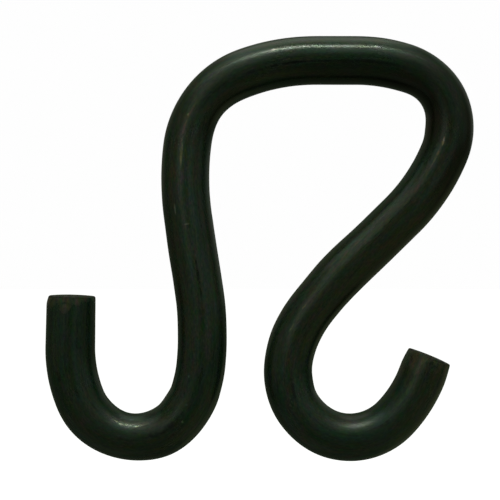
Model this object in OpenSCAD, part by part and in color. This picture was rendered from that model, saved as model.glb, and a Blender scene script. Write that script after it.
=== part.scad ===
// Basket hook, bent from one length of round steel bar.
//
// The crown hangs over a rail, a branch or a hanger bar, and a basket's handle sits in each of the
// two hooks below it. The left leg runs almost straight down. The right leg slants back under the
// crown, so that the right hook hangs close to the middle of the load.
//
// Frame: +Z is up as the hook hangs, X runs along the crown, and the bar lies in the XZ plane.
// The origin is the crown's seat, which is the middle of the underside of the crown's flat.

/* [Bar] */
// Diameter of the round bar
bar_d = 10; // [8:0.5:12]
// Radius left on the edge of each cut end
end_round = 0.6; // [0.3:0.1:1.5]

/* [Overall] */
// Height over all, from the top of the crown to the underside of the two hooks
height = 88.5; // [80:0.5:120]
// Straight flat in the middle of the crown
crown_flat = 8.5; // [4:0.5:30]
// Distance between the lowest points of the two hooks
seat_spacing = 44.6; // [40:0.2:56]
// Distance of the left hook's lowest point from the middle of the crown
left_seat_out = 41.6; // [38:0.2:48]

/* [Left shoulder] */
// Inside radius where the bend runs in from the crown
left_shoulder_crown_r = 38; // [25:1:60]
// Turn taken at that radius, in degrees
left_shoulder_crown_turn = 20; // [5:1:30]
// Inside radius of the bend itself
left_shoulder_r = 13.5; // [8:0.1:20]
// Inside radius where the bend runs out into the leg
left_shoulder_leg_r = 53; // [30:1:80]
// Turn taken at that radius, in degrees
left_shoulder_leg_turn = 15; // [5:1:25]

/* [Left hook] */
// Inside radius where the bend runs in from the leg
left_hook_leg_r = 43; // [25:1:60]
// Turn taken at that radius, in degrees
left_hook_leg_turn = 23; // [5:1:35]
// Inside radius of the hook's seat
left_hook_r = 7.8; // [6:0.1:9]
// Inside radius where the bend runs out into the tip
left_hook_tip_r = 22; // [12:1:35]
// Turn taken at that radius, in degrees
left_hook_tip_turn = 24; // [5:1:35]
// Straight stretch at the tip, to its cut end
left_tip = 10.5; // [6:0.5:25]
// Lean of the tip outwards from upright, in degrees, and inwards where it is negative
left_tip_lean = -1.5; // [-5:0.5:20]

/* [Right shoulder] */
// Inside radius where the bend runs in from the crown
right_shoulder_crown_r = 32; // [20:1:50]
// Turn taken at that radius, in degrees
right_shoulder_crown_turn = 15; // [5:1:25]
// Inside radius of the bend itself
right_shoulder_r = 8.3; // [6:0.1:14]
// Inside radius where the bend runs out into the leg
right_shoulder_leg_r = 35; // [20:1:50]
// Turn taken at that radius, in degrees
right_shoulder_leg_turn = 23; // [5:1:35]

/* [Right hook] */
// Inside radius where the bend runs in from the leg
right_hook_leg_r = 25; // [15:1:40]
// Turn taken at that radius, in degrees
right_hook_leg_turn = 34; // [5:1:45]
// Inside radius of the hook's seat
right_hook_r = 8.1; // [6:0.1:9]
// Inside radius where the bend runs out into the tip
right_hook_tip_r = 22; // [12:1:35]
// Turn taken at that radius, in degrees
right_hook_tip_turn = 21; // [5:1:35]
// Straight stretch at the tip, to its cut end
right_tip = 4.7; // [3:0.1:15]
// Lean of the tip outwards from upright, in degrees
right_tip_lean = 22; // [-5:0.5:35]

/* [Hidden] */
$fn = 96;

black_steel = "#1f2825";

// A length to a thousandth of a millimetre, or an angle to a thousandth of a degree
function thousandths(x) = round(x * 1e3) / 1e3;
function millionths(x) = round(x * 1e6) / 1e6;

bar_r = thousandths(bar_d / 2);
edge_r = thousandths(end_round);
half_flat = thousandths(crown_flat / 2);

// Height of the bar's centreline along the crown, above its height at the hooks' lowest points
drop = height - bar_d;

// Each side is worked out as if it ran to the right from the middle of the crown: the bar turns down
// through the shoulder, runs along the leg, and turns back up through the hook. Points are [x, z] from
// the middle of the crown, and a heading is the bar's angle below the horizontal.
//
// The straight leg lies between two bends that curve opposite ways. Seen along the leg, the centres of
// the shoulder's bend and the hook's seat lie a fixed distance apart sideways, whatever way the leg
// slants. That gives the leg as [length, heading], and the hook's seat comes where it is wanted.
function leg(seat_out, crown_r, crown_turn, shoulder_r, shoulder_leg_r, shoulder_leg_turn,
             hook_leg_r, hook_leg_turn, hook_r) =
    let(shoulder_centre = [half_flat, -bar_r - crown_r]
            + (crown_r - shoulder_r) * [sin(crown_turn), cos(crown_turn)],
        seat_centre = [seat_out, bar_r + hook_r - drop],
        across = seat_centre - shoulder_centre,
        sideways = bar_d
            + shoulder_leg_r - (shoulder_leg_r - shoulder_r) * cos(shoulder_leg_turn)
            + hook_leg_r - (hook_leg_r - hook_r) * cos(hook_leg_turn),
        in_bends = (shoulder_leg_r - shoulder_r) * sin(shoulder_leg_turn)
            + (hook_leg_r - hook_r) * sin(hook_leg_turn))
    [sqrt(across * across - sideways * sideways) - in_bends,
     atan2(-across[1], across[0]) + asin(sideways / norm(across))];

left_leg = leg(left_seat_out, left_shoulder_crown_r, left_shoulder_crown_turn, left_shoulder_r,
               left_shoulder_leg_r, left_shoulder_leg_turn,
               left_hook_leg_r, left_hook_leg_turn, left_hook_r);
right_leg = leg(seat_spacing - left_seat_out,
                right_shoulder_crown_r, right_shoulder_crown_turn, right_shoulder_r,
                right_shoulder_leg_r, right_shoulder_leg_turn,
                right_hook_leg_r, right_hook_leg_turn, right_hook_r);

// What is left to turn at a shoulder's own radius, and at a hook's
left_shoulder_turn = left_leg[1] - left_shoulder_crown_turn - left_shoulder_leg_turn;
right_shoulder_turn = right_leg[1] - right_shoulder_crown_turn - right_shoulder_leg_turn;
left_hook_turn = left_leg[1] + 90 - left_tip_lean - left_hook_leg_turn - left_hook_tip_turn;
right_hook_turn = right_leg[1] + 90 - right_tip_lean - right_hook_leg_turn - right_hook_tip_turn;

// A move and a turn to the far end of a bend, for what follows there. Each is made as a rounded step
// and the small rest of it, so that the next stretch of bar meets the bend face to face and the two
// fuse. Of the rounded turns close by, the one that changes the bar's size least is taken.
function size_error(turned) = abs(turned * turned - 1);
function least_error(list) =
    let(errors = [for (turned = list) size_error(turned)]) list[search(min(errors), errors)[0]];
function rounded_turn(turn) =
    least_error([for (i = [-100:100])
                    let(near = turn + i * 5e-5) [millionths(sin(near)), millionths(cos(near))]]);

module onward(place, turn) {
    near_place = [for (x = place) thousandths(x)];
    near_turn = rounded_turn(turn);
    s = near_turn[0];
    c = near_turn[1];
    rest = (turn - atan2(s, c)) * PI / 180;
    translate(near_place)
        translate(place - near_place)
            multmatrix([[c, 0, s, 0], [0, 1, 0, 0], [-s, 0, c, 0]])
                multmatrix([[1, 0, rest, 0], [0, 1, 0, 0], [-rest, 0, 1, 0]])
                    children();
}

// A straight stretch of bar along +X. What follows starts at its far end.
module straight(length) {
    rotate([0, 90, 0]) cylinder(h = length, r = bar_r);
    translate([length, 0, 0]) children();
}

// A bend from +X over a former of the inside radius, down, or up where way is -1. What follows starts
// at its far end, in the bar's new direction.
module bend(inside_r, turn, way = 1) {
    r = thousandths(inside_r + bar_r);
    angle = thousandths(turn);
    translate([0, 0, -way * r])
        rotate([-90 * way, -90 * way, 0])
            rotate_extrude(angle = angle) translate([r, 0]) circle(r = bar_r);
    onward([r * sin(angle), 0, way * r * (cos(angle) - 1)], way * angle) children();
}

// The cut end of the bar, with its edge rounded
module cut_end() {
    rotate([0, 90, 0])
        rotate_extrude() {
            square([bar_r - edge_r, edge_r]);
            translate([bar_r - edge_r, 0])
                intersection() {
                    circle(r = edge_r);
                    square(edge_r);
                }
        }
}

// The bar lies in one plane, so half a turn about Z makes the left side of one that runs to the right
module left_side()
    rotate([0, 0, 180])
        translate([half_flat, 0, 0])
            bend(left_shoulder_crown_r, left_shoulder_crown_turn)
            bend(left_shoulder_r, left_shoulder_turn)
            bend(left_shoulder_leg_r, left_shoulder_leg_turn)
            straight(left_leg[0])
            bend(left_hook_leg_r, left_hook_leg_turn, -1)
            bend(left_hook_r, left_hook_turn, -1)
            bend(left_hook_tip_r, left_hook_tip_turn, -1)
            straight(left_tip - edge_r)
            cut_end();

module right_side()
    translate([half_flat, 0, 0])
        bend(right_shoulder_crown_r, right_shoulder_crown_turn)
        bend(right_shoulder_r, right_shoulder_turn)
        bend(right_shoulder_leg_r, right_shoulder_leg_turn)
        straight(right_leg[0])
        bend(right_hook_leg_r, right_hook_leg_turn, -1)
        bend(right_hook_r, right_hook_turn, -1)
        bend(right_hook_tip_r, right_hook_tip_turn, -1)
        straight(right_tip - edge_r)
        cut_end();

module hook_rod() {
    color(black_steel)
        translate([0, 0, bar_r]) {
            translate([-half_flat, 0, 0]) straight(2 * half_flat);
            left_side();
            right_side();
        }
}

hook_rod();
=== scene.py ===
"""Basket hook: one length of 10 mm round bar, bent cold into a crown and two hooks, then black-oxided.

The sizes are millimetres and degrees, as in the part's source, and the mesh is made in metres.
"""

import math

import bpy
import numpy as np
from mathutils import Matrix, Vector


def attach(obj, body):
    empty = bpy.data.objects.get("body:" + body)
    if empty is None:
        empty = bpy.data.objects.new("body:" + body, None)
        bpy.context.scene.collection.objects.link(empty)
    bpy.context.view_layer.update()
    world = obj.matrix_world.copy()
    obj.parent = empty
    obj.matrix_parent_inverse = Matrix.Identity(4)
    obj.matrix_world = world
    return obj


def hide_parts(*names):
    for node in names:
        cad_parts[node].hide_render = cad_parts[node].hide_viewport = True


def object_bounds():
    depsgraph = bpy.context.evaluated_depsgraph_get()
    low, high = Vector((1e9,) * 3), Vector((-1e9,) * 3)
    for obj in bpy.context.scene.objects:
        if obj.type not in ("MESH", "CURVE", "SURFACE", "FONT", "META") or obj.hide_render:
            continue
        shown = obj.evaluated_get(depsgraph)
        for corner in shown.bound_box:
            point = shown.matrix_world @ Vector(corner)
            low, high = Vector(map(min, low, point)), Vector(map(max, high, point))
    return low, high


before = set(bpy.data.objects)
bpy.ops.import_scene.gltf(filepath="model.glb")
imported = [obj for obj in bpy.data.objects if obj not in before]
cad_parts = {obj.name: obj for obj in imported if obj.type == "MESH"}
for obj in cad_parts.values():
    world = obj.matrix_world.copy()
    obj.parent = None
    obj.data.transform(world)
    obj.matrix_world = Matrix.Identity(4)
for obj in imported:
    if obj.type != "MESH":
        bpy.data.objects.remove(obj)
cad_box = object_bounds()

MM = 0.001

# The bar, the crown and where the two hooks hang
BAR_D = 10.0
BAR_R = BAR_D / 2
HEIGHT = 88.5
CROWN_FLAT = 8.5
LEFT_SEAT_OUT = 41.6
SEAT_SPACING = 44.6

# Each side is bent outwards from the middle of the crown. The radii are those of the formers.
LEFT = {
    "seat_out": LEFT_SEAT_OUT,
    "crown_r": 38,
    "crown_turn": 20,
    "shoulder_r": 13.5,
    "run_out_r": 53,
    "run_out_turn": 15,
    "run_in_r": 43,
    "run_in_turn": 23,
    "seat_r": 7.8,
    "tip_r": 22,
    "tip_turn": 24,
    "tip": 10.5,
    "tip_lean": -1.5,
}
RIGHT = {
    "seat_out": SEAT_SPACING - LEFT_SEAT_OUT,
    "crown_r": 32,
    "crown_turn": 15,
    "shoulder_r": 8.3,
    "run_out_r": 35,
    "run_out_turn": 23,
    "run_in_r": 25,
    "run_in_turn": 34,
    "seat_r": 8.1,
    "tip_r": 22,
    "tip_turn": 21,
    "tip": 4.7,
    "tip_lean": 22,
}

# The cropped ends: a small round on the edge, and a face that bulges a little. The shear bruised the
# edge at both sides: side as for PRESSES, then how deep and how far along the bar from the end.
EDGE_ROUND = 0.35
FACE_BULGE = 0.2
LEFT_BRUISES = ((-1, 0.45, 1.9), (1, 0.05, 0.8))
RIGHT_BRUISES = ((-1, 0.5, 4.5), (1, 0.4, 3.5))

# How much the bar stands proud of its nominal size on either side, in the plane of the bends
SIDE_SWELL = 0.05

# The drawn surface is uneven by this much, and comes and goes over the ripple's length
UNEVENNESS = 0.06
RIPPLE_LENGTH = 9.0

# The sweep: facets round the bar, the spacing of its rings, the angles of those over the edge's round,
# and how far out on a cropped face each ring lies, as a share of the face's radius
FACETS = 96
RING_SPACING = 0.42
EDGE_ANGLES = (0, 18, 36, 54, 72, 90)
FACE_SHARES = (0.93, 0.85, 0.75, 0.64, 0.52, 0.4, 0.28, 0.17, 0.08)

# Where the formers pressed the bar, and where the bends drew it thinner: the distance from the left tip,
# how far either way, which side and how deep. Side 1 is the top of the crown and the inside of both
# hooks, and -1 the other. A depth below zero is a swelling.
PRESSES = (
    {"at": 16, "reach": 22, "side": 1, "depth": -0.28},
    {"at": 34, "reach": 9, "side": -1, "depth": 0.22},
    {"at": 35, "reach": 9, "side": 1, "depth": 0.26},
    {"at": 115.5, "reach": 10.5, "side": -1, "depth": 0.52},
    {"at": 113, "reach": 15, "side": 1, "depth": 0.15},
    {"at": 168.3, "reach": 9.5, "side": -1, "depth": 0.82},
    {"at": 162, "reach": 9, "side": 1, "depth": 0.18},
    {"at": 248, "reach": 9, "side": -1, "depth": 0.28},
    {"at": 259, "reach": 14, "side": 1, "depth": 0.2},
)

# Where the bar wavers, as hand bending leaves it: the distance from the left tip, how far either way,
# how far it strays towards side 1, and how much it swells on both sides
WAVERS = (
    (42, 5, -0.1, 0.04),
    (49.5, 5, 0.2, 0.03),
    (57.5, 4, -0.08, 0.0),
    (67, 8, 0.13, 0.0),
    (60, 36, 0.02, 0.1),
    (84, 7, 0.06, 0.03),
    (213, 9, -0.16, 0.08),
    (222, 6, 0.2, -0.06),
    (232, 6, -0.15, 0.03),
    (241, 6, 0.2, 0.05),
    (249, 10, 0.0, 0.1),
    (274, 15, 0.0, -0.13),
)


# --------------------------------------------------------------------------------------------------
# Nodes and colours
# --------------------------------------------------------------------------------------------------


def add(tree, kind, inputs=None, **settings):
    """Adds a node with its settings, and its inputs set to values or linked from sockets."""
    made = tree.nodes.new(kind)
    for name, value in settings.items():
        setattr(made, name, value)
    for name, value in (inputs or {}).items():
        if isinstance(value, bpy.types.NodeSocket):
            tree.links.new(value, made.inputs[name])
        else:
            made.inputs[name].default_value = value
    return made


def srgb(code):
    """An sRGB hex colour as the linear colour that nodes take."""
    shares = [int(code[i : i + 2], 16) / 255 for i in (1, 3, 5)]
    linear = [s / 12.92 if s <= 0.04045 else ((s + 0.055) / 1.055) ** 2.4 for s in shares]
    return (*linear, 1.0)


# --------------------------------------------------------------------------------------------------
# The bar's centreline
# --------------------------------------------------------------------------------------------------


def leg(side):
    """The straight leg's length, and the angle below level at which it runs, from what it joins."""
    crown_turn = math.radians(side["crown_turn"])
    run_out = math.radians(side["run_out_turn"])
    run_in = math.radians(side["run_in_turn"])
    eased_out = side["run_out_r"] - side["shoulder_r"]
    eased_in = side["run_in_r"] - side["seat_r"]
    lead = side["crown_r"] - side["shoulder_r"]
    shoulder_x = CROWN_FLAT / 2 + lead * math.sin(crown_turn)
    shoulder_z = -BAR_R - side["crown_r"] + lead * math.cos(crown_turn)
    seat_z = BAR_R + side["seat_r"] - (HEIGHT - BAR_D)
    over = side["seat_out"] - shoulder_x
    down = shoulder_z - seat_z
    sideways = BAR_D + side["run_out_r"] - eased_out * math.cos(run_out)
    sideways += side["run_in_r"] - eased_in * math.cos(run_in)
    span = math.hypot(over, down)
    in_bends = eased_out * math.sin(run_out) + eased_in * math.sin(run_in)
    length = math.sqrt(span**2 - sideways**2) - in_bends
    heading = math.degrees(math.atan2(down, over) + math.asin(sideways / span))
    return length, heading


def stretches(side):
    """The side from the middle of the crown to its tip, as (length, turn) with a turn down above 0."""
    leg_length, heading = leg(side)
    shoulder_turn = heading - side["crown_turn"] - side["run_out_turn"]
    seat_turn = heading + 90 - side["tip_lean"] - side["run_in_turn"] - side["tip_turn"]
    bends = (
        (side["crown_r"], side["crown_turn"], 1),
        (side["shoulder_r"], shoulder_turn, 1),
        (side["run_out_r"], side["run_out_turn"], 1),
        (side["run_in_r"], side["run_in_turn"], -1),
        (side["seat_r"], seat_turn, -1),
        (side["tip_r"], side["tip_turn"], -1),
    )
    curved = [((r + BAR_R) * math.radians(turn), way * math.radians(turn)) for r, turn, way in bends]
    return [(CROWN_FLAT / 2, 0), *curved[:3], (leg_length, 0), *curved[3:], (side["tip"], 0)]


def bar_length():
    """The length of the bar, cut for bending."""
    return sum(stretch[0] for side in (LEFT, RIGHT) for stretch in stretches(side))


def end_rings():
    """Rings over a cropped end, as (distance short of the bar's full length, share of its radius)."""
    edge = EDGE_ROUND / BAR_R
    rim = [math.radians(angle) for angle in EDGE_ANGLES]
    rounded = [(EDGE_ROUND * (1 - math.sin(a)), 1 - edge * (1 - math.cos(a))) for a in rim]
    bulged = [(-FACE_BULGE * (1 - share**2), share * (1 - edge)) for share in FACE_SHARES]
    return rounded + bulged


def rings_along(side):
    """Places of the rings from the middle of the crown to the tip, and each ring's share of the radius."""
    length = sum(stretch[0] for stretch in stretches(side))
    last = length - end_rings()[0][0]
    count = math.ceil(last / RING_SPACING)
    body = [(last * i / count, 1.0) for i in range(count)]
    return body + [(length - short, share) for short, share in end_rings()]


def point_at(side, distance):
    """x, z and the heading below level, at a distance along the side from the middle of the crown."""
    x, z, heading = 0.0, 0.0, 0.0
    parts = stretches(side)
    for number, (length, turn) in enumerate(parts):
        run = distance if number == len(parts) - 1 else min(distance, length)
        bend = turn * run / length
        chord = run * math.sin(bend / 2) / (bend / 2) if bend else run
        x += chord * math.cos(heading + bend / 2)
        z -= chord * math.sin(heading + bend / 2)
        heading += bend
        distance -= run
        if distance <= 0 and number < len(parts) - 1:
            break
    return x, z, heading


def centreline():
    """The bar's rings from the left tip to the right: centre, sideways direction, distance and girth."""
    left_length = sum(stretch[0] for stretch in stretches(LEFT))
    rows = []
    for distance, share in reversed(rings_along(LEFT)[1:]):
        x, z, heading = point_at(LEFT, distance)
        across = (-math.sin(heading), 0.0, math.cos(heading))
        rows.append(((-x, 0.0, z + BAR_R), across, left_length - distance, share))
    for distance, share in rings_along(RIGHT):
        x, z, heading = point_at(RIGHT, distance)
        across = (math.sin(heading), 0.0, math.cos(heading))
        rows.append(((x, 0.0, z + BAR_R), across, left_length + distance, share))
    return rows


def bar_line():
    """The centreline as a line of edges, with what the sweep needs to know at each ring."""
    rows = centreline()
    points = [tuple(c * MM for c in row[0]) for row in rows]
    line = bpy.data.meshes.new("bar_line")
    line.from_pydata(points, [(i, i + 1) for i in range(len(points) - 1)], [])
    facts = {
        "centre": ("FLOAT_VECTOR", "vector", points),
        "across": ("FLOAT_VECTOR", "vector", [row[1] for row in rows]),
        "along": ("FLOAT", "value", [row[2] * MM for row in rows]),
        "girth": ("FLOAT", "value", [row[3] for row in rows]),
    }
    for name, (kind, field, values) in facts.items():
        fact = line.attributes.new(name, kind, "POINT")
        fact.data.foreach_set(field, np.array(values, np.float32).ravel())
    return line


# --------------------------------------------------------------------------------------------------
# The bar
# --------------------------------------------------------------------------------------------------


def swept_section(tree, given):
    """The round section swept along the centreline, with the girth of each ring, and its ends closed."""
    line = add(tree, "GeometryNodeMeshToCurve", {"Mesh": given["Centreline"]})
    section = add(
        tree,
        "GeometryNodeCurvePrimitiveCircle",
        {"Resolution": given["Facets"], "Radius": given["Bar radius"]},
    )
    girth = add(tree, "GeometryNodeInputNamedAttribute", {"Name": "girth"}, data_type="FLOAT")
    swept = add(
        tree,
        "GeometryNodeCurveToMesh",
        {
            "Curve": line.outputs["Curve"],
            "Profile Curve": section.outputs["Curve"],
            "Scale": girth.outputs["Attribute"],
            "Fill Caps": True,
        },
    )
    return swept.outputs["Mesh"]


def out_from_centre(tree):
    """The way from the bar's centreline to a point on its surface."""
    place = add(tree, "GeometryNodeInputPosition").outputs["Position"]
    centre = add(tree, "GeometryNodeInputNamedAttribute", {"Name": "centre"}, data_type="FLOAT_VECTOR")
    out = add(
        tree, "ShaderNodeVectorMath", {0: place, 1: centre.outputs["Attribute"]}, operation="SUBTRACT"
    )
    return out.outputs["Vector"]


def straight_bar_kept(tree, surface, out):
    """The surface with each point's place on the unbent bar kept in "straight_bar"."""
    across = add(tree, "GeometryNodeInputNamedAttribute", {"Name": "across"}, data_type="FLOAT_VECTOR")
    along = add(tree, "GeometryNodeInputNamedAttribute", {"Name": "along"}, data_type="FLOAT")
    sideways = add(
        tree, "ShaderNodeVectorMath", {0: out, 1: across.outputs["Attribute"]}, operation="DOT_PRODUCT"
    )
    frontways = add(tree, "ShaderNodeVectorMath", {0: out, 1: (0.0, -1.0, 0.0)}, operation="DOT_PRODUCT")
    straight = add(
        tree,
        "ShaderNodeCombineXYZ",
        {"X": sideways.outputs["Value"], "Y": frontways.outputs["Value"], "Z": along.outputs["Attribute"]},
    )
    kept = add(
        tree,
        "GeometryNodeStoreNamedAttribute",
        {"Geometry": surface, "Name": "straight_bar", "Value": straight.outputs["Vector"]},
        data_type="FLOAT_VECTOR",
        domain="POINT",
    )
    return kept.outputs["Geometry"]


def uneven(tree, surface, out, given):
    """The surface, let in a little here and there by a ripple that follows the unbent bar."""
    straight = add(
        tree, "GeometryNodeInputNamedAttribute", {"Name": "straight_bar"}, data_type="FLOAT_VECTOR"
    )
    per_ripple = add(tree, "ShaderNodeMath", {0: 1.0, 1: given["Ripple length"]}, operation="DIVIDE")
    ripple_place = add(
        tree,
        "ShaderNodeVectorMath",
        {0: straight.outputs["Attribute"], "Scale": per_ripple.outputs["Value"]},
        operation="SCALE",
    )
    ripple = add(
        tree, "ShaderNodeTexNoise", {"Vector": ripple_place.outputs["Vector"], "Scale": 1.0, "Detail": 2.0}
    )
    inwards = add(tree, "ShaderNodeMath", {0: given["Unevenness"], 1: -1.0}, operation="MULTIPLY")
    depth = add(
        tree, "ShaderNodeMath", {0: ripple.outputs[0], 1: inwards.outputs["Value"]}, operation="MULTIPLY"
    )
    outwards = add(tree, "ShaderNodeVectorMath", {0: out}, operation="NORMALIZE")
    shift = add(
        tree,
        "ShaderNodeVectorMath",
        {0: outwards.outputs["Vector"], "Scale": depth.outputs["Value"]},
        operation="SCALE",
    )
    moved = add(tree, "GeometryNodeSetPosition", {"Geometry": surface, "Offset": shift.outputs["Vector"]})
    return moved.outputs["Geometry"]


def bar_sweep():
    """The tree that sweeps the bar's round section along its centreline.

    It keeps each point's place on the bar as it was before bending, in "straight_bar": sideways, towards
    the front, and along. What the mill and the die left on the bar follows those, through every bend.
    """
    tree = bpy.data.node_groups.new("bar_sweep", "GeometryNodeTree")
    inputs = {
        "Centreline": "NodeSocketGeometry",
        "Bar radius": "NodeSocketFloat",
        "Facets": "NodeSocketInt",
        "Unevenness": "NodeSocketFloat",
        "Ripple length": "NodeSocketFloat",
        "Finish": "NodeSocketMaterial",
    }
    for name, kind in inputs.items():
        tree.interface.new_socket(name, in_out="INPUT", socket_type=kind)
    tree.interface.new_socket("Bar", in_out="OUTPUT", socket_type="NodeSocketGeometry")
    given = add(tree, "NodeGroupInput").outputs
    out = out_from_centre(tree)
    kept = straight_bar_kept(tree, swept_section(tree, given), out)
    smooth = add(tree, "GeometryNodeSetShadeSmooth", {"Geometry": uneven(tree, kept, out, given)})
    whole = add(tree, "GeometryNodeRealizeInstances", {"Geometry": smooth.outputs["Geometry"]})
    finished = add(
        tree,
        "GeometryNodeSetMaterial",
        {"Geometry": whole.outputs["Geometry"], "Material": given["Finish"]},
    )
    add(tree, "NodeGroupOutput", {"Bar": finished.outputs["Geometry"]})
    return tree


def vectors(mesh, name):
    """A vector attribute of the mesh, one row for each of its points."""
    rows = np.empty(len(mesh.vertices) * 3, np.float32)
    mesh.attributes[name].data.foreach_get("vector", rows)
    return rows.reshape(-1, 3)


def faded(distance, reach):
    """1 where the distance is 0, easing to 0 at the reach on either side."""
    return np.cos(np.clip(abs(distance) / reach, 0, 1) * math.pi / 2) ** 2


def press_at_bends(mesh):
    """Shapes the bar's two sides by SIDE_SWELL, WAVERS, PRESSES and the bruises at its ends.

    Every move is in the plane of the bends, and none takes the bar past the hook's overall size.
    """
    across = vectors(mesh, "across")
    straight = vectors(mesh, "straight_bar") / MM
    side = straight[:, 0] / BAR_R
    along = straight[:, 2]
    moved = SIDE_SWELL * side
    for at, reach, stray, swell in WAVERS:
        moved += (stray + swell * side) * faded(along - at, reach)
    for press in PRESSES:
        facing = np.clip(press["side"] * side, 0, 1) ** 2
        moved -= press["side"] * press["depth"] * facing * faded(along - press["at"], press["reach"])
    for from_end, bruises in ((along, LEFT_BRUISES), (bar_length() - along, RIGHT_BRUISES)):
        for bruised_side, depth, reach in bruises:
            facing = np.clip(bruised_side * side, 0, 1) ** 2
            moved -= bruised_side * depth * facing * np.clip(1 - from_end / reach, 0, 1) ** 1.5
    place = vectors(mesh, "position") + across * (moved * MM)[:, None]
    place = np.clip(place, cad_box[0], cad_box[1])
    mesh.vertices.foreach_set("co", place.ravel())
    mesh.update()


def hook_bar(finish):
    """The whole hook: the bar swept along its bends, then pressed at them."""
    blank = bpy.data.objects.new("bar_blank", bar_line())
    bpy.context.scene.collection.objects.link(blank)
    sweep = blank.modifiers.new("bar_sweep", "NODES")
    sweep.node_group = bar_sweep()
    sizes = {
        "Bar radius": BAR_R * MM,
        "Facets": FACETS,
        "Unevenness": UNEVENNESS * MM,
        "Ripple length": RIPPLE_LENGTH * MM,
        "Finish": finish,
    }
    for socket in sweep.node_group.interface.items_tree:
        if socket.name in sizes:
            sweep[socket.identifier] = sizes[socket.name]
    evaluated = blank.evaluated_get(bpy.context.evaluated_depsgraph_get())
    mesh = bpy.data.meshes.new_from_object(evaluated)
    mesh.name = "hook_bar"
    blank.modifiers.remove(sweep)
    bpy.data.objects.remove(blank)
    press_at_bends(mesh)
    for name in ("centre", "across", "along", "girth"):
        if name in mesh.attributes:
            mesh.attributes.remove(mesh.attributes[name])
    bar = bpy.data.objects.new("hook_bar", mesh)
    bpy.context.scene.collection.objects.link(bar)
    return bar


# --------------------------------------------------------------------------------------------------
# Marks in the finish
# --------------------------------------------------------------------------------------------------

# Each mark is (distance from the left tip, place round the bar from its front line, half length, half
# width, strength), in mm. Round the bar, the top of the crown and the inside of the hooks lie above 0.

# Drifts to a paler, browner, greener or more olive tone, drawn out along the bar; some are painted light
# Pale drifts in the oxide; the one 214 mm along, on the right leg's upper side, is a painted highlight
PALE_DRIFTS_AND_PAINTED_SHEEN = (
    (92.0, 0.0, 26.0, 2.2, 0.5),
    (72.0, -1.0, 16.0, 5.0, 0.2),
    (188.0, -0.6, 9.0, 1.3, 0.25),
    (214.0, -2.2, 16.0, 2.0, 0.5),
    (232.0, 0.5, 28.0, 6.5, 0.2),
    (264.0, -4.6, 28.0, 3.0, 0.55),
    (36.0, -4.8, 26.0, 2.8, 0.4),
)
# Dark brown drifts: partly the oxide's tone; those under the crown and inside the shoulders are painted
# shade, warm-tinted
BROWN_DRIFTS_AND_PAINTED_SHADE = (
    (168.0, -4.8, 20.0, 4.4, 0.9),
    (168.0, 0.6, 14.0, 4.0, 0.45),
    (150.0, -2.4, 20.0, 2.6, 0.45),
    (117.0, -4.2, 10.0, 2.4, 0.5),
    (181.0, 3.6, 15.0, 4.0, 0.7),
)
GREEN_DRIFTS = (
    (16.0, 0.0, 32.0, 5.5, 0.35),
    (126.0, -0.5, 16.0, 3.4, 0.4),
    (232.0, -3.4, 22.0, 3.0, 0.3),
)
OLIVE_DRIFTS = (
    (76.0, 4.2, 20.0, 3.2, 0.4),
    (205.0, 4.6, 24.0, 3.0, 0.3),
    (276.0, -2.4, 12.0, 3.4, 0.25),
    (206.0, 0.5, 36.0, 7.0, 0.4),
)

# Where the bends left the oxide a little rougher, so that its highlights are duller
MATT_PLACES = (
    (33.0, 2.6, 17.0, 9.0, 0.7),
    (120.0, 3.0, 18.0, 8.0, 0.6),
    (166.0, 2.6, 15.0, 8.0, 0.6),
    (263.0, 2.6, 22.0, 9.0, 1.0),
)

# Where handling has worn the oxide off the cropped ends
WORN_PATCHES = (
    (0.0, -4.6, 3.2, 3.0, 0.6),
    (0.2, -0.6, 3.6, 2.0, 0.75),
    (0.2, 1.8, 2.2, 2.0, 0.6),
    (285.2, 3.0, 4.5, 4.0, 0.55),
    (285.2, -1.4, 3.0, 2.6, 0.5),
    (284.6, -5.4, 4.0, 2.6, 0.7),
)

# Thin streaks that are rubbed through to a brassy tone
BRASSY_MARKS = (
    (102.9, 0.7, 3.0, 0.3, 0.5),
    (107.5, 0.95, 8.0, 0.25, 0.15),
    (180.0, -1.6, 1.4, 0.22, 0.9),
    (183.0, -1.8, 4.0, 0.3, 0.3),
    (224.9, -1.9, 0.8, 0.25, 0.35),
    (229.8, -1.8, 1.2, 0.25, 0.3),
    (278.5, 2.3, 7.0, 0.45, 0.1),
)

# Nicks down to bright metal, and painted glints: the pale spots on the highlights in the left hook and on
# the crown
NICKS_AND_PAINTED_GLINTS = (
    (31.8, 3.4, 0.6, 0.25, 0.35),
    (33.3, 3.1, 0.7, 0.25, 0.55),
    (34.9, 3.3, 0.7, 0.25, 0.25),
    (37.4, 3.0, 0.9, 0.25, 0.5),
    (36.0, 4.8, 0.8, 0.2, 0.15),
    (47.6, -0.7, 0.3, 0.3, 0.3),
    (51.0, 0.5, 0.3, 0.3, 0.15),
    (57.0, 1.9, 0.4, 0.3, 0.15),
    (88.8, 0.2, 0.25, 0.7, 0.25),
    (92.1, 2.3, 1.3, 0.25, 0.35),
    (111.0, 1.2, 0.35, 0.25, 0.3),
    (132.4, 2.5, 0.7, 0.3, 0.6),
    (152.8, 2.4, 0.5, 0.25, 0.7),
    (179.6, -1.6, 0.5, 0.2, 0.5),
)

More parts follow.
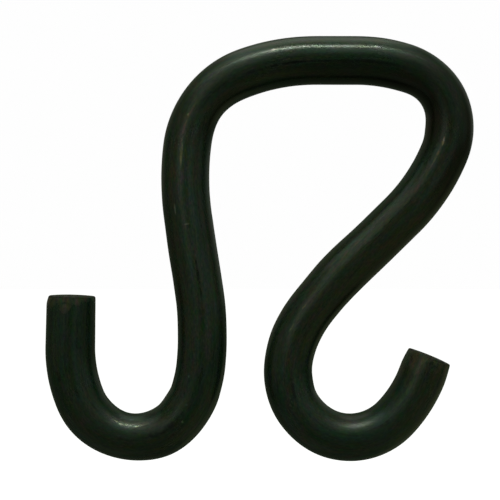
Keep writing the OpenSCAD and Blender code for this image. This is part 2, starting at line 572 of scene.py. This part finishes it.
# The die's deeper lines, which hold the oxide and look black
DARK_DRAW_LINES = (
    (8.0, 2.1, 5.0, 0.35, 0.5),
    (16.0, -1.9, 1.5, 0.5, 0.5),
    (20.3, 0.9, 1.5, 0.35, 0.5),
    (35.5, 0.1, 4.0, 0.35, 0.5),
    (43.5, 0.6, 7.0, 0.8, 0.8),
    (58.0, -0.5, 3.0, 0.35, 0.5),
    (77.7, -0.5, 5.5, 0.35, 0.7),
    (118.0, -0.7, 6.0, 0.35, 0.6),
    (127.7, -0.9, 3.0, 0.35, 0.6),
    (134.7, -0.9, 5.0, 0.4, 0.9),
    (150.0, -0.9, 13.0, 0.4, 0.7),
    (147.0, -4.4, 32.0, 0.5, 0.3),
    (136.2, 1.5, 0.5, 0.4, 0.9),
    (163.0, 2.4, 1.5, 0.5, 0.5),
    (242.0, 0.6, 4.0, 0.4, 0.6),
    (268.0, 1.3, 2.5, 0.5, 0.6),
)


# --------------------------------------------------------------------------------------------------
# The finish
# --------------------------------------------------------------------------------------------------


def bar_surface(tree):
    """Where a point lies on the unbent bar: in the round, unrolled flat, and its distance from an end."""
    place = add(tree, "ShaderNodeAttribute", attribute_name="straight_bar").outputs["Vector"]
    split = add(tree, "ShaderNodeSeparateXYZ", {"Vector": place})
    along = split.outputs["Z"]
    angle = add(
        tree, "ShaderNodeMath", {0: split.outputs["X"], 1: split.outputs["Y"]}, operation="ARCTAN2"
    )
    around = add(tree, "ShaderNodeMath", {0: angle.outputs[0], 1: BAR_R * MM}, operation="MULTIPLY")
    unrolled = add(tree, "ShaderNodeCombineXYZ", {"X": around.outputs[0], "Y": along})
    from_right = add(tree, "ShaderNodeMath", {0: bar_length() * MM, 1: along}, operation="SUBTRACT")
    from_end = add(tree, "ShaderNodeMath", {0: from_right.outputs[0], 1: along}, operation="MINIMUM")
    return place, unrolled.outputs["Vector"], from_end.outputs[0]


def marked_places(tree, unrolled, marks):
    """How strongly each of the marks shows, drawn on the bar's surface as if it were unrolled flat."""
    strongest = 0.0
    for distance, around, half_length, half_width, strength in marks:
        own_place = add(
            tree,
            "ShaderNodeMapping",
            {
                "Vector": unrolled,
                "Location": (around * MM, distance * MM, 0.0),
                "Scale": (half_width * MM, half_length * MM, 1.0),
            },
            vector_type="TEXTURE",
        )
        spot = add(
            tree,
            "ShaderNodeTexGradient",
            {"Vector": own_place.outputs["Vector"]},
            gradient_type="SPHERICAL",
        )
        weighed = add(
            tree, "ShaderNodeMapRange", {"Value": spot.outputs[1], "From Max": 0.5, "To Max": strength}
        )
        both = add(tree, "ShaderNodeMath", {0: weighed.outputs[0], 1: strongest}, operation="MAXIMUM")
        strongest = both.outputs[0]
    return strongest


def drawn_out(tree, place, width, length, detail, roughness, start=(0.0, 0.0, 0.0)):
    """A cloudy pattern drawn out along the bar, with its width and length in mm: its level and colour."""
    across = 1 / (width * MM)
    along = 1 / (length * MM)
    scaled = add(
        tree, "ShaderNodeMapping", {"Vector": place, "Location": start, "Scale": (across, across, along)}
    )
    cloud = add(
        tree,
        "ShaderNodeTexNoise",
        {"Vector": scaled.outputs["Vector"], "Scale": 1.0, "Detail": detail, "Roughness": roughness},
    )
    return cloud.outputs[0], cloud.outputs[1]


def laid_over(tree, tone, layers):
    """The tone with each layer's colour laid over it, where the layer's share is above 0."""
    for share, colour in layers:
        laid = add(
            tree, "ShaderNodeMix", {"Factor": share, "A": tone, "B": srgb(colour)}, data_type="RGBA"
        )
        tone = laid.outputs[2]
    return tone


def oxide_tone(tree, place, unrolled):
    """The oxide's green and browner tones, in drifts 3 mm wide and 25 mm long, and the placed drifts."""
    drifts, _ = drawn_out(tree, place, width=3, length=25, detail=3.0, roughness=0.6)
    tone = add(tree, "ShaderNodeValToRGB", {"Fac": drifts})
    green, brown = tone.color_ramp.elements
    green.position = 0.35
    green.color = srgb("#243b2b")
    brown.position = 0.68
    brown.color = srgb("#393b29")
    placed_drifts = (
        # Pale tone, which also paints the highlight on the right leg
        (marked_places(tree, unrolled, PALE_DRIFTS_AND_PAINTED_SHEEN), "#465347"),
        (marked_places(tree, unrolled, GREEN_DRIFTS), "#1e3a2c"),
        (marked_places(tree, unrolled, OLIVE_DRIFTS), "#3b3824"),
        # Dark brown, which also paints warm shade under the crown and inside the shoulders
        (marked_places(tree, unrolled, BROWN_DRIFTS_AND_PAINTED_SHADE), "#1e1a0a"),
    )
    return laid_over(tree, tone.outputs["Color"], placed_drifts)


def dark_die_lines(tree, place, unrolled, die_lines, broken):
    """How dark the die's lines are: the fine ones, the coarser scores, and the deep ones that are placed.

    The scores are 0.5 mm wide and 18 mm long, and show as broken threads.
    """
    scores, _ = drawn_out(
        tree, place, width=0.5, length=18, detail=2.0, roughness=0.5, start=(3.0, 5.0, 2.0)
    )
    dark_scores = add(
        tree,
        "ShaderNodeMapRange",
        {"Value": scores, "From Min": 0.4, "From Max": 0.32, "To Min": 0.0, "To Max": 0.4},
    )
    broken_scores = add(
        tree, "ShaderNodeMath", {0: dark_scores.outputs[0], 1: broken}, operation="MULTIPLY"
    )
    fine_lines = add(
        tree,
        "ShaderNodeMapRange",
        {"Value": die_lines, "From Min": 0.46, "From Max": 0.34, "To Min": 0.0, "To Max": 0.15},
    )
    drawn_lines = add(
        tree, "ShaderNodeMath", {0: fine_lines.outputs[0], 1: broken_scores.outputs[0]}, operation="ADD"
    )
    deep_lines = marked_places(tree, unrolled, DARK_DRAW_LINES)
    all_lines = add(
        tree,
        "ShaderNodeMath",
        {0: deep_lines, 1: broken, 2: drawn_lines.outputs[0]},
        operation="MULTIPLY_ADD",
        use_clamp=True,
    )
    return all_lines.outputs[0]


def wear(tree, unrolled, from_end, rub, broken):
    """How far the oxide is worn off: up to 1.6 mm along from each end, and in the worn patches."""
    reach = add(
        tree,
        "ShaderNodeMapRange",
        {"Value": rub, "From Min": 0.3, "From Max": 0.7, "To Min": 0.2 * MM, "To Max": 1.6 * MM},
    )
    short = add(tree, "ShaderNodeMath", {0: reach.outputs[0], 1: from_end}, operation="SUBTRACT")
    end_wear = add(
        tree,
        "ShaderNodeMapRange",
        {"Value": short.outputs[0], "From Min": -0.4 * MM, "From Max": 0.8 * MM, "To Max": 0.7},
    )
    patches = add(
        tree,
        "ShaderNodeMath",
        {0: marked_places(tree, unrolled, WORN_PATCHES), 1: broken},
        operation="MULTIPLY",
    )
    all_wear = add(
        tree, "ShaderNodeMath", {0: end_wear.outputs[0], 1: patches.outputs[0]}, operation="MAXIMUM"
    )
    return all_wear.outputs[0]


def grained(tree, tone, grain, grain_colour):
    """The tone with the grain's light and dark, and its faint colour."""
    tint = add(tree, "ShaderNodeValToRGB", {"Fac": grain})
    dark, light = tint.color_ramp.elements
    dark.position = 0.3
    dark.color = srgb("#cccccc")
    light.position = 0.7
    light.color = srgb("#ffffff")
    shaded = add(
        tree,
        "ShaderNodeMix",
        {"Factor": 1.0, "A": tone, "B": tint.outputs["Color"]},
        data_type="RGBA",
        blend_type="MULTIPLY",
    )
    speckled = add(
        tree,
        "ShaderNodeMix",
        {"Factor": 0.5, "A": shaded.outputs[2], "B": grain_colour},
        data_type="RGBA",
        blend_type="OVERLAY",
    )
    return speckled.outputs[2]


def temper_tinted(tree, tone, place):
    """The tone with faint olive, blue and purple blotches, 1 mm wide and 2.5 mm long.

    The blotches' own light and dark is taken out, so that they change the hue alone.
    """
    _, colours = drawn_out(tree, place, width=1, length=2.5, detail=2.0, roughness=0.6)
    lightness = add(tree, "ShaderNodeRGBToBW", {"Color": colours})
    hue_alone = add(
        tree, "ShaderNodeVectorMath", {0: colours, 1: lightness.outputs[0]}, operation="SUBTRACT"
    )
    about_grey = add(
        tree,
        "ShaderNodeVectorMath",
        {0: hue_alone.outputs["Vector"], 1: (1.2, 1.2, 1.2), 2: (0.5, 0.5, 0.5)},
        operation="MULTIPLY_ADD",
    )
    tinted = add(
        tree,
        "ShaderNodeMix",
        {"Factor": 0.8, "A": tone, "B": about_grey.outputs["Vector"]},
        data_type="RGBA",
        blend_type="OVERLAY",
    )
    return tinted.outputs[2]


def satin(tree, unrolled, grain, worn, torn):
    """The roughness: satin, duller in the matt places, and rough where the oxide is worn or torn off."""
    smooth = add(
        tree,
        "ShaderNodeMapRange",
        {"Value": grain, "From Min": 0.3, "From Max": 0.7, "To Min": 0.22, "To Max": 0.27},
    )
    roughness = smooth.outputs[0]
    rougher = ((marked_places(tree, unrolled, MATT_PLACES), 0.36), (worn, 0.5), (torn, 0.9))
    for share, level in rougher:
        mixed = add(tree, "ShaderNodeMix", {"Factor": share, "A": roughness, "B": level})
        roughness = mixed.outputs[0]
    return roughness


def relief(tree, torn, rub, die_lines, grain):
    """The relief: the torn metal of the cropped faces, then the die's lines, then the oxide's grain."""
    tears = add(tree, "ShaderNodeMath", {0: torn, 1: rub}, operation="MULTIPLY")
    torn_metal = add(
        tree, "ShaderNodeBump", {"Strength": 0.6, "Distance": 0.3 * MM, "Height": tears.outputs[0]}
    )
    lined = add(
        tree,
        "ShaderNodeBump",
        {
            "Strength": 0.1,
            "Distance": 0.03 * MM,
            "Height": die_lines,
            "Normal": torn_metal.outputs["Normal"],
        },
    )
    etched = add(
        tree,
        "ShaderNodeBump",
        {"Strength": 0.06, "Distance": 0.03 * MM, "Height": grain, "Normal": lined.outputs["Normal"]},
    )
    return etched.outputs["Normal"]


def black_oxide():
    """Black-oxided cold-drawn steel, oiled.

    The oxide is a thin magnetite layer: nearly black with a green cast, dim in its reflections, and satin,
    because it takes the surface of the drawn bar under it. It is only partly metallic, since light enters
    the oxide before it meets the steel, and its IOR is the default. Die lines run along the bar, and where
    it has rubbed, on the cropped ends and in a few streaks, browner and brassy metal shows. The cropped
    faces are torn, rough and dull.
    """
    material = bpy.data.materials.new("black_oxide_on_drawn_steel")
    material.use_nodes = True
    tree = material.node_tree
    tree.nodes.clear()
    place, unrolled, from_end = bar_surface(tree)

    # Die lines: really 0.05 mm apart, drawn 0.35 mm apart and 8 mm long so that they show
    die_lines, _ = drawn_out(tree, place, width=0.35, length=8, detail=3.0, roughness=0.6)

    # Grain: the etched oxide's mottling, really 0.1 mm, drawn 0.35 mm so that it shows
    grain, grain_colour = drawn_out(tree, place, width=0.35, length=0.9, detail=2.0, roughness=0.7)

    # Rubbing comes and goes over about 1.6 mm, and breaks up most marks
    rub, _ = drawn_out(tree, place, width=1.6, length=1.6, detail=3.0, roughness=0.7)
    breaks = add(
        tree,
        "ShaderNodeMapRange",
        {"Value": rub, "From Min": 0.38, "From Max": 0.56, "To Min": 0.15, "To Max": 1.0},
    )
    broken = breaks.outputs[0]

    worn = wear(tree, unrolled, from_end, rub, broken)
    faces = add(
        tree, "ShaderNodeMapRange", {"Value": from_end, "From Min": 0.4 * MM, "From Max": 0.1 * MM}
    )
    torn = faces.outputs[0]
    torn_patches = add(tree, "ShaderNodeMath", {0: torn, 1: broken}, operation="MULTIPLY")
    streaks = add(
        tree,
        "ShaderNodeMath",
        {0: marked_places(tree, unrolled, BRASSY_MARKS), 1: broken},
        operation="MULTIPLY",
    )
    layers = (
        (dark_die_lines(tree, place, unrolled, die_lines, broken), "#0a0f0b"),
        (worn, "#655e49"),
        (torn_patches.outputs[0], "#2d2e26"),
        (streaks.outputs[0], "#94835a"),
        # Pale metal of the nicks, which also paints glints on the highlights
        (marked_places(tree, unrolled, NICKS_AND_PAINTED_GLINTS), "#9a9c90"),
    )
    marked_tone = laid_over(tree, oxide_tone(tree, place, unrolled), layers)
    grained_tone = grained(tree, marked_tone, grain, grain_colour)

    steel = add(
        tree,
        "ShaderNodeBsdfPrincipled",
        {
            "Base Color": temper_tinted(tree, grained_tone, place),
            "Metallic": 0.35,
            "Roughness": satin(tree, unrolled, grain, worn, torn),
            "Normal": relief(tree, torn, rub, die_lines, grain),
        },
    )
    add(tree, "ShaderNodeOutputMaterial", {"Surface": steel.outputs["BSDF"]})
    return material


def studio_paper():
    """Matt white background paper, which the floor is laid with.

    Its fibres are too fine to see, so the eye gets an even white with clouds about 40 mm wide, barely
    darker. It glows as white as the backdrop, so that no horizon shows.
    """
    material = bpy.data.materials.new("matt_white_paper")
    material.use_nodes = True
    tree = material.node_tree
    tree.nodes.clear()
    place = add(tree, "ShaderNodeTexCoord")
    cloud = add(
        tree,
        "ShaderNodeTexNoise",
        {"Vector": place.outputs["Object"], "Scale": 1 / (40 * MM), "Detail": 2.0},
    )
    tone = add(
        tree,
        "ShaderNodeMix",
        {"Factor": cloud.outputs[0], "A": srgb("#fbfbfa"), "B": srgb("#fefefe")},
        data_type="RGBA",
    )
    paper = add(
        tree,
        "ShaderNodeBsdfPrincipled",
        {
            "Base Color": tone.outputs[2],
            "Roughness": 0.9,
            "Emission Color": srgb("#fefefe"),
            "Emission Strength": 1.0,
        },
    )
    add(tree, "ShaderNodeOutputMaterial", {"Surface": paper.outputs["BSDF"]})
    return material


# --------------------------------------------------------------------------------------------------
# The studio
# --------------------------------------------------------------------------------------------------

# Middle of the camera's view, the width that it takes in there, and how far away it stands
VIEW_MIDDLE = Vector((-17.876, 0.0, -34.53)) * MM
VIEW_WIDTH = 104.34 * MM
CAMERA_AWAY = 230 * MM
SENSOR_WIDTH = 36.0

# The floor, in metres: half its width, and its level, well below the hooks
FLOOR_HALF = 6.0
FLOOR_LEVEL = -0.26

# The tints of the light
WHITE = "#f9fff3"
COOL_WHITE = "#e8fff7"
PALE_BLUE = "#c6f8fa"
WARM_WHITE = "#fff1da"
PALE_YELLOW = "#f6ffb8"


def camera():
    """A level camera that looks along +Y at the hook."""
    eye = bpy.data.cameras.new("camera")
    eye.sensor_width = SENSOR_WIDTH
    eye.lens = SENSOR_WIDTH * CAMERA_AWAY / VIEW_WIDTH
    eye.clip_start = 0.01
    eye.clip_end = 100.0
    holder = bpy.data.objects.new("camera", eye)
    holder.location = VIEW_MIDDLE + Vector((0.0, -CAMERA_AWAY, 0.0))
    holder.rotation_euler = (math.radians(90), 0.0, 0.0)
    bpy.context.scene.collection.objects.link(holder)
    bpy.context.scene.camera = holder


def soft_light(name, bearing, height, away, size, power, colour):
    """An area light that faces the hook. Its size and its distance are in metres.

    The bearing is in degrees to the camera's right, with 0 where the camera stands.
    """
    lamp = bpy.data.lights.new(name, "AREA")
    lamp.shape = "RECTANGLE"
    lamp.size = size[0]
    lamp.size_y = size[1]
    lamp.energy = power
    lamp.color = srgb(colour)[:3]
    around = math.radians(bearing)
    up = math.radians(height)
    towards = Vector((math.sin(around) * math.cos(up), -math.cos(around) * math.cos(up), math.sin(up)))
    holder = bpy.data.objects.new(name, lamp)
    holder.location = VIEW_MIDDLE + towards * away
    holder.rotation_euler = towards.to_track_quat("Z", "Y").to_euler()
    bpy.context.scene.collection.objects.link(holder)


def lights():
    """Strip softboxes overhead, a little in front, and dim broad panels all round.

    The strips draw the thin highlight along the crown and in the hooks. The panels fill the rest.
    """
    soft_light("overhead_strip", 0, 63, 0.58, (0.3, 0.02), 0.86, WHITE)
    soft_light("overhead_strip_middle", -7, 63, 0.58, (0.08, 0.02), 0.18, WHITE)
    soft_light("overhead_strip_ends", 0, 63, 0.58, (0.7, 0.02), 0.16, COOL_WHITE)
    soft_light("overhead_panel", 180, 84, 0.8, (0.5, 0.35), 0.49, WHITE)
    soft_light("left_front_panel", -30, 26, 0.8, (0.35, 0.6), 0.28, WHITE)
    soft_light("left_near_panel", -18, 6, 0.8, (0.25, 0.25), 0.035, WHITE)
    soft_light("left_front_low_panel", -32, -8, 0.8, (0.5, 0.35), 0.03, PALE_BLUE)
    soft_light("front_high_panel", -5, 38, 0.8, (0.35, 0.3), 0.09, COOL_WHITE)
    soft_light("right_front_high_panel", 21, 42, 0.8, (0.35, 0.3), 0.16, COOL_WHITE)
    soft_light("right_front_panel", 27, 6, 0.8, (0.35, 0.4), 0.08, PALE_BLUE)
    soft_light("left_high_panel", -60, 60, 0.8, (0.5, 0.5), 0.45, COOL_WHITE)
    soft_light("left_side_panel", -65, 8, 0.8, (0.5, 0.6), 0.09, WARM_WHITE)
    soft_light("right_side_panel", 62, 18, 0.8, (0.6, 0.6), 0.17, COOL_WHITE)
    soft_light("right_high_panel", 60, 60, 0.8, (0.5, 0.5), 0.23, COOL_WHITE)
    soft_light("right_low_panel", 55, -40, 0.8, (0.7, 0.7), 0.15, PALE_YELLOW)
    soft_light("left_low_panel", -65, -55, 0.8, (0.7, 0.7), 0.12, WHITE)
    soft_light("low_front_panel", 0, -60, 0.8, (0.6, 0.6), 0.035, PALE_YELLOW)
    soft_light("back_high_panel", 180, 64, 0.8, (0.6, 0.35), 0.42, WHITE)
    soft_light("back_left_panel", -135, 25, 0.8, (0.7, 0.7), 0.11, WARM_WHITE)
    soft_light("back_right_panel", 135, 25, 0.8, (0.7, 0.7), 0.22, WHITE)
    soft_light("back_low_right_panel", 120, -35, 0.8, (0.7, 0.7), 0.14, PALE_YELLOW)


def surroundings():
    """A pale backdrop for the camera, and a dim room for what the steel reflects."""
    world = bpy.data.worlds.new("studio")
    world.use_nodes = True
    tree = world.node_tree
    tree.nodes.clear()
    ray = add(tree, "ShaderNodeLightPath")
    room = add(tree, "ShaderNodeBackground", {"Color": srgb("#464f40"), "Strength": 1.0})
    backdrop = add(tree, "ShaderNodeBackground", {"Color": srgb("#fefefe"), "Strength": 1.0})
    seen = add(
        tree,
        "ShaderNodeMixShader",
        {0: ray.outputs["Is Camera Ray"], 1: room.outputs["Background"], 2: backdrop.outputs["Background"]},
    )
    add(tree, "ShaderNodeOutputWorld", {"Surface": seen.outputs["Shader"]})
    bpy.context.scene.world = world


def floor():
    """A wide paper floor. It lights nothing, so that the lights alone shape the steel."""
    signs = ((-1, -1), (1, -1), (1, 1), (-1, 1))
    corners = [(x * FLOOR_HALF, y * FLOOR_HALF, FLOOR_LEVEL) for x, y in signs]
    mesh = bpy.data.meshes.new("floor")
    mesh.from_pydata(corners, [], [(0, 1, 2, 3)])
    mesh.materials.append(studio_paper())
    sheet = bpy.data.objects.new("floor", mesh)
    sheet.visible_glossy = False
    sheet.visible_diffuse = False
    bpy.context.scene.collection.objects.link(sheet)


# --------------------------------------------------------------------------------------------------
# Making it
# --------------------------------------------------------------------------------------------------

bar = hook_bar(black_oxide())
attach(bar, "root")
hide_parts("hook_rod")
floor()
surroundings()
lights()
camera()
bpy.context.scene.view_settings.view_transform = "Standard"
